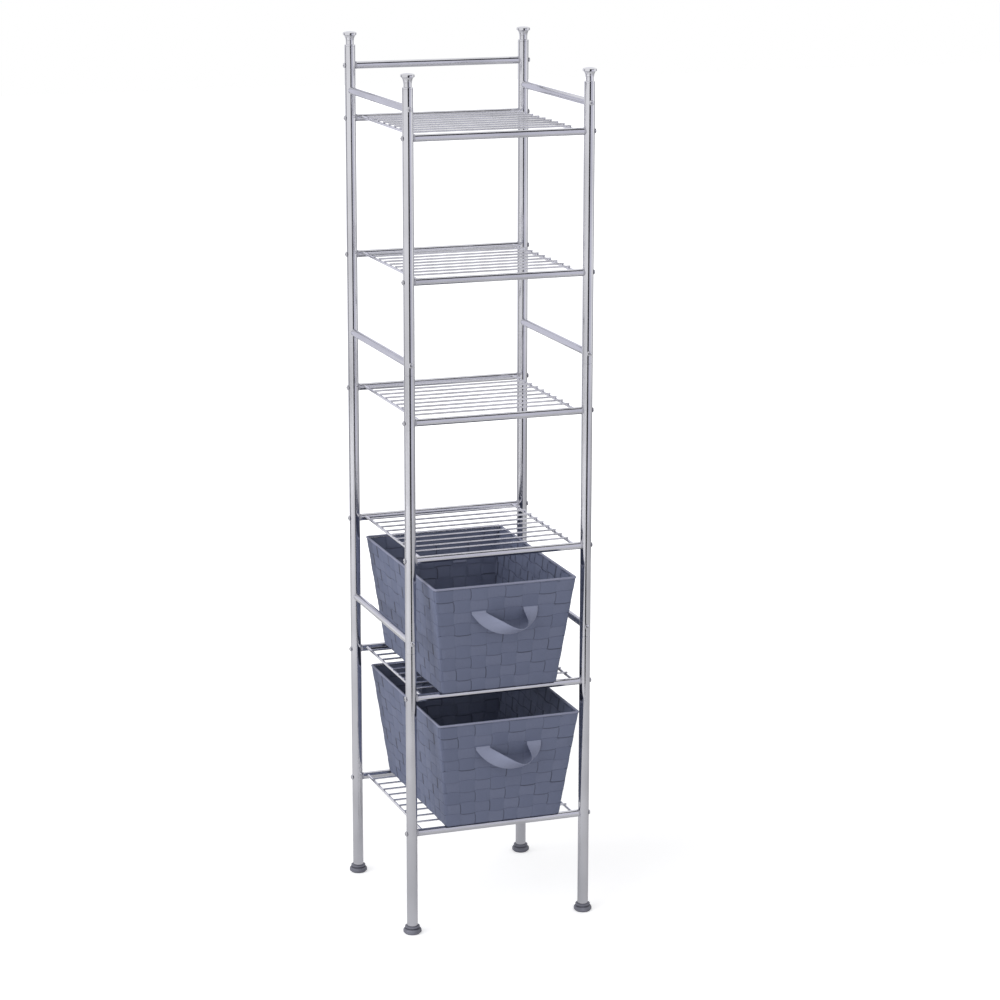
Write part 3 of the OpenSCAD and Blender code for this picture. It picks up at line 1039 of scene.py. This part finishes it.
    def uprights(self) -> None:
        """Builds the uprights that cross the bands."""
        work = bmesh.new()
        cells = (self.rows * self.steps, self.strap_cells)
        for column in range(self.columns):
            made = mapped_grid(work, cells, partial(self.upright_point, column), self.rows, column)
            thicken(work, made, self.strap_thickness)
        finish_piece(work, f"{self.body}_uprights", self.body, Finish.UPRIGHT)

    def floor_weave(self) -> None:
        """Builds the floor's straps, which cross as the wall's do."""
        work = bmesh.new()
        for lengthwise in (False, True):
            count, others = self.floor_counts(lengthwise)
            cells = (others * self.steps, self.floor_strap_cells)
            for number in range(count):
                place = partial(self.floor_point, number, lengthwise)
                thicken(work, mapped_grid(work, cells, place, others, number), self.strap_thickness)
        finish_piece(work, f"{self.body}_floor_weave", self.body, Finish.WEAVE)

    def rim_fold(self) -> bpy.types.Object:
        """Builds the strap folded over the rim's wire.

        Returns:
            The piece.
        """
        work = bmesh.new()
        cells = (self.columns * self.steps, self.fold_cells)
        made = mapped_grid(work, cells, self.fold_point, self.columns)
        bmesh.ops.remove_doubles(work, verts=made, dist=self.fold_weld)
        return finish_piece(work, f"{self.body}_rim_fold", self.body, Finish.RIM)

    def hand_strap(self, face: int) -> bpy.types.Object:
        """Builds one hand strap.

        Args:
            face: -1 at the front and 1 at the back.

        Returns:
            The piece.
        """
        slot_z = self.floor_z + self.height - self.hand_drop
        slot_level = (self.height - self.hand_drop) / self.wall_height
        wall_y = self.half_sizes(slot_level)[1] + self.wall / 2.0
        hand = HandStrap(self.wall, (self.rim_half_y - self.floor_half_y) / self.wall_height)
        sections = hand.sections()

        def place(along: float, across: float) -> Vector:
            """Places a point of the strap on the front wall, or mirrors it for the back."""
            point = hand.point(sections, along, across)
            return self.middle + Vector((point.x, -face * (point.y - wall_y), slot_z + point.z))

        work = bmesh.new()
        made = mapped_grid(work, (len(sections) - 1, self.hand_cells), place, self.hand_tiles)
        thicken(work, made, hand.thickness * self.hand_sheet)
        name = f"{self.body}_{'front' if face < 0 else 'back'}_hand_strap"
        return finish_piece(work, name, self.body, Finish.STRAP)

    def build(self) -> None:
        """Builds the bin's pieces and hides the nodes that they replace."""
        bands = self.bands()
        self.uprights()
        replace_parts(bands, f"{self.body}_shell")
        self.floor_weave()
        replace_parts(self.rim_fold(), f"{self.body}_rim")
        front = self.hand_strap(-1)
        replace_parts(front, f"{self.body}_handles")
        self.hand_strap(1)


# ---- studio ----


def around(bearing_deg: float, distance: float, height: float) -> Vector:
    """Gives a place round the tower.

    Args:
        bearing_deg: Its bearing, from the right towards the back.
        distance: How far it is from the tower's axis.
        height: How high it is.

    Returns:
        The place.
    """
    bearing = math.radians(bearing_deg)
    return Vector((distance * math.cos(bearing), distance * math.sin(bearing), height))


@dataclass(frozen=True)
class Lamp:
    """An area lamp that faces the tower's middle and that mirrors don't see."""

    name: str
    place: Vector
    size: tuple[float, float]
    watts: float
    aim: tuple[float, float, float] = (0.0, 0.0, 0.8)

    def build(self) -> None:
        """Makes the lamp."""
        data = bpy.data.lights.new(self.name, "AREA")
        data.shape = "RECTANGLE"
        data.size, data.size_y = self.size
        data.energy = self.watts
        lamp = bpy.data.objects.new(self.name, data)
        facing = (Vector(self.aim) - self.place).to_track_quat("-Z", "Y")
        lamp.matrix_world = Matrix.Translation(self.place) @ facing.to_matrix().to_4x4()
        lamp.visible_glossy = False
        bpy.context.scene.collection.objects.link(lamp)


@dataclass(frozen=True)
class Card:
    """A dark or grey card that only mirrors see. It stands upright, or if overhead faces down."""

    name: str
    centre: Vector
    size: tuple[float, float]
    tone: float
    blue: float = 1.12
    overhead_z: float = 2.5

    def build(self) -> None:
        """Makes the card."""
        work = bmesh.new()
        bmesh.ops.create_grid(work, x_segments=2, y_segments=2, size=0.5)
        bmesh.ops.transform(work, matrix=Matrix.Diagonal((*self.size, 1.0, 1.0)), verts=work.verts)
        drop = 0.0 if self.centre.z < self.overhead_z else -self.centre.z
        facing = Vector((-self.centre.x, -self.centre.y, drop)).to_track_quat("Z", "Y")
        stand = Matrix.Translation(self.centre) @ facing.to_matrix().to_4x4()
        bmesh.ops.transform(work, matrix=stand, verts=work.verts)
        mesh = bpy.data.meshes.new(self.name)
        work.to_mesh(mesh)
        work.free()
        card = bpy.data.objects.new(self.name, mesh)
        bpy.context.scene.collection.objects.link(card)
        material, graph = new_material(self.name)
        colour = (self.tone, self.tone, self.tone * self.blue, 1.0)
        graph.surface(graph.node("ShaderNodeEmission", {}, {"Color": colour}))
        mesh.materials.append(material)
        card.visible_camera = False
        card.visible_diffuse = False
        card.visible_transmission = False
        card.visible_shadow = False


LAMPS = (
    Lamp("key", Vector((-3.3, -1.0, 2.3)), (4.6, 3.0), 98.0),
    Lamp("fill", Vector((1.2, -3.6, 2.4)), (2.4, 2.4), 4.0),
)
CARDS = (
    Card("front_card", around(-94.0, 3.0, 1.31), (1.75, 2.6), 0.045),
    Card("front_low_card", around(-95.0, 1.45, 0.31), (0.62, 0.6), 0.03),
    Card("side_card", around(-60.0, 2.2, 1.70), (1.6, 3.0), 0.74),
    Card("back_card", around(88.0, 2.6, 1.2), (2.6, 2.4), 0.76),
    Card("left_card", around(150.0, 2.4, 1.30), (0.7, 2.5), 0.20),
    Card("right_card", around(14.0, 2.4, 1.30), (0.9, 2.5), 0.20),
    Card("overhead_card", Vector((0.75, -0.90, 3.2)), (1.9, 1.3), 0.06),
)


@dataclass
class Studio:
    """A white sweep, soft lamps, cards for the chrome to reflect, and the camera."""

    focal_px: float = 2946.0
    frame_px: float = 1000.0
    sensor_mm: float = 36.0
    place: tuple[float, float, float] = (-1.6624, -4.7590, 1.9616)
    yaw_deg: float = 19.893
    pitch_deg: float = 13.725
    roll_deg: float = 0.092
    sight: float = 60.0
    sky_light: float = 0.62
    floor_half: float = 14.0
    floor_paint: tuple[float, float, float, float] = (0.80, 0.80, 0.81, 1.0)
    floor_glow: float = 0.50
    floor_far_glow: float = 0.36
    floor_far_step: Span = (0.8, 2.4)
    floor_mirror_glow: float = 0.5
    floor_mirror_step: Span = (2.5, 7.0)

    def camera(self) -> None:
        """Puts the camera where the photograph was taken from."""
        yaw, pitch, roll = (math.radians(v) for v in (self.yaw_deg, self.pitch_deg, self.roll_deg))
        ahead = Vector((math.sin(yaw) * math.cos(pitch), math.cos(yaw) * math.cos(pitch), -math.sin(pitch)))
        right = Vector((math.cos(yaw), -math.sin(yaw), 0.0))
        up = right.cross(ahead)
        across = math.cos(roll) * right + math.sin(roll) * up
        upward = math.cos(roll) * up - math.sin(roll) * right
        turned = Matrix((across, upward, -ahead)).transposed().to_4x4()
        data = bpy.data.cameras.new("camera")
        data.sensor_fit = "HORIZONTAL"
        data.sensor_width = self.sensor_mm
        data.lens = self.focal_px / self.frame_px * self.sensor_mm
        data.clip_end = self.sight
        camera = bpy.data.objects.new("camera", data)
        camera.matrix_world = Matrix.Translation(self.place) @ turned
        bpy.context.scene.collection.objects.link(camera)
        bpy.context.scene.camera = camera

    def world(self) -> None:
        """Lights the object softly from all round, and shows white behind it and in its reflections."""
        world = bpy.data.worlds.new("studio")
        world.use_nodes = True
        bpy.context.scene.world = world
        graph = Graph(world.node_tree)
        path = graph.node("ShaderNodeLightPath").outputs
        seen = Value(graph, path["Is Camera Ray"]) + Value(graph, path["Is Transmission Ray"])
        shiny = Value(graph, path["Is Glossy Ray"])
        strength = self.sky_light + (seen + shiny) * (1.0 - self.sky_light)
        graph.surface(graph.node("ShaderNodeBackground", {}, {"Color": WHITE, "Strength": strength}))

    def floor(self) -> None:
        """Lays the white floor, which keeps the object's shadow."""
        work = bmesh.new()
        bmesh.ops.create_grid(work, x_segments=8, y_segments=8, size=self.floor_half)
        mesh = bpy.data.meshes.new("floor")
        work.to_mesh(mesh)
        work.free()
        floor = bpy.data.objects.new("floor", mesh)
        bpy.context.scene.collection.objects.link(floor)
        material, graph = new_material("floor_white")
        path = graph.node("ShaderNodeLightPath").outputs
        away = graph.reach(graph.object_place())
        seen_glow = self.floor_glow + self.floor_far_glow * away.ramp(*self.floor_far_step)
        seen = Value(graph, path["Is Camera Ray"]) * seen_glow
        mirrored = Value(graph, path["Is Glossy Ray"]) + Value(graph, path["Is Transmission Ray"])
        strength = seen + mirrored * away.ramp(*self.floor_mirror_step) * self.floor_mirror_glow
        matt = graph.node("ShaderNodeBsdfDiffuse", {}, {"Color": self.floor_paint})
        glow = graph.node("ShaderNodeEmission", {}, {"Color": WHITE, "Strength": strength})
        graph.surface(graph.node("ShaderNodeAddShader", {}, {0: matt.outputs[0], 1: glow.outputs[0]}))
        mesh.materials.append(material)

    def build(self) -> None:
        """Sets up everything round the object."""
        bpy.context.scene.view_settings.view_transform = "Standard"
        self.camera()
        self.world()
        self.floor()
        for prop in LAMPS + CARDS:
            prop.build()
        LOG.info("studio is set")


def main() -> None:
    """Builds the studio and the object's pieces."""
    logging.basicConfig(level=logging.INFO, format="%(name)s: %(message)s")
    Studio().build()
    CarriedNodes().dress()
    for body in ("lower_bin", "upper_bin"):
        WovenBin(body).build()


if __name__ == "__main__":
    main()
